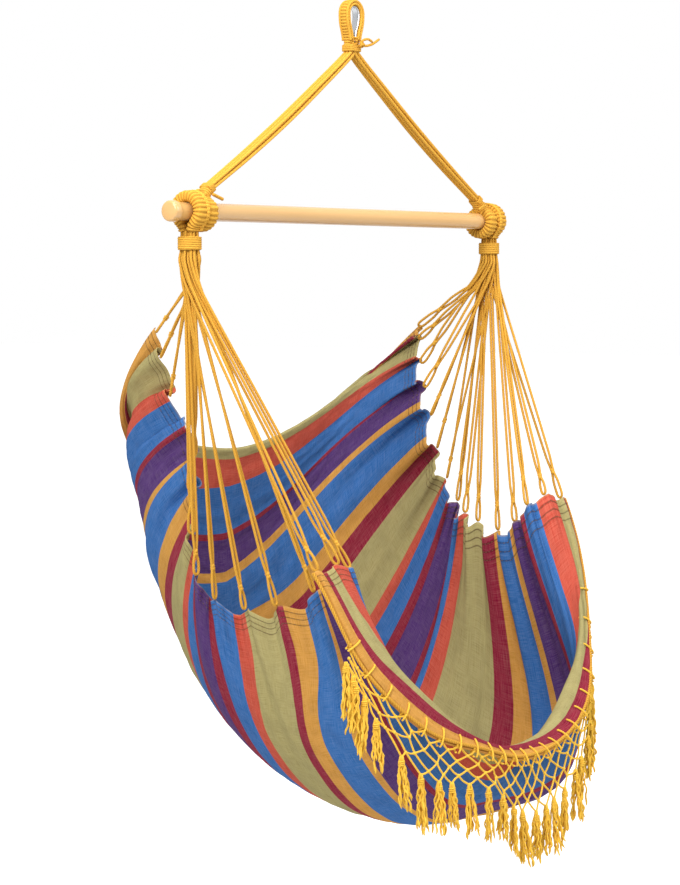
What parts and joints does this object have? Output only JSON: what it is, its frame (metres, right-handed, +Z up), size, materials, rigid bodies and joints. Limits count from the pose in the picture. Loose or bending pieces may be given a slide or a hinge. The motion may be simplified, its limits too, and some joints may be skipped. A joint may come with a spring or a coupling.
{
  "type": "hammock chair",
  "caption": "Hanging hammock chair: striped cloth seat gathered on cords under a wooden spreader bar, with a rope bridle, a hanging eye and a knotted fringe.",
  "frame": {"origin": "the point where a hook bears, at the inner top of the steel thimble", "axes": "+X along the spreader bar, -Y towards the chair's front (the fringe), +Z up"},
  "size_m": [0.96, 0.7221, 1.5128],
  "materials": {
    "steel": "bright",
    "rope": "twisted yellow cotton cord",
    "wood": "clear varnish",
    "cloth": "woven stripes",
    "fringe": "knotted yellow cotton cord"
  },
  "bodies": {
    "suspension": {"hanging_thimble": "steel", "hanging_eye": "rope", "eye_whipping": "rope", "eye_tie_knot": "rope", "bridle_cord_left_1": "rope", "bridle_cord_left_2": "rope", "bridle_cord_left_3": "rope", "bridle_cord_left_4": "rope", "bridle_cord_left_5": "rope", "bridle_cord_left_6": "rope", "bridle_cord_right_1": "rope", "bridle_cord_right_2": "rope", "bridle_cord_right_3": "rope", "bridle_cord_right_4": "rope", "bridle_cord_right_5": "rope", "bridle_cord_right_6": "rope", "bridle_whipping_left": "rope", "bridle_whipping_right": "rope", "bridle_loop_left": "rope", "bridle_loop_right": "rope"},
    "bar": {"spreader_bar": "wood"},
    "seat": {"clew_loop_left": "rope", "clew_loop_right": "rope", "clew_whipping_left": "rope", "clew_whipping_right": "rope", "nettle_left_01": "rope", "nettle_left_02": "rope", "nettle_left_03": "rope", "nettle_left_04": "rope", "nettle_left_05": "rope", "nettle_left_06": "rope", "nettle_left_07": "rope", "nettle_left_08": "rope", "nettle_left_09": "rope", "nettle_left_10": "rope", "nettle_left_11": "rope", "nettle_left_12": "rope", "nettle_left_13": "rope", "nettle_left_14": "rope", "nettle_left_15": "rope", "nettle_right_01": "rope", "nettle_right_02": "rope", "nettle_right_03": "rope", "nettle_right_04": "rope", "nettle_right_05": "rope", "nettle_right_06": "rope", "nettle_right_07": "rope", "nettle_right_08": "rope", "nettle_right_09": "rope", "nettle_right_10": "rope", "nettle_right_11": "rope", "nettle_right_12": "rope", "nettle_right_13": "rope", "nettle_right_14": "rope", "nettle_right_15": "rope", "seat_cloth": "cloth", "fringe_cord": "fringe", "fringe_net": "fringe"}
  },
  "joints": [
    {"name": "bar_turn", "type": "hinge", "parent": "suspension", "child": "bar", "pos_m": [0, 0, -0.371], "axis": [1, 0, 0], "continuous": true},
    {"name": "seat_swing", "type": "hinge", "parent": "suspension", "child": "seat", "pos_m": [0, 0, -0.371], "axis": [1, 0, 0], "range_deg": [-25, 25]}
  ]
}
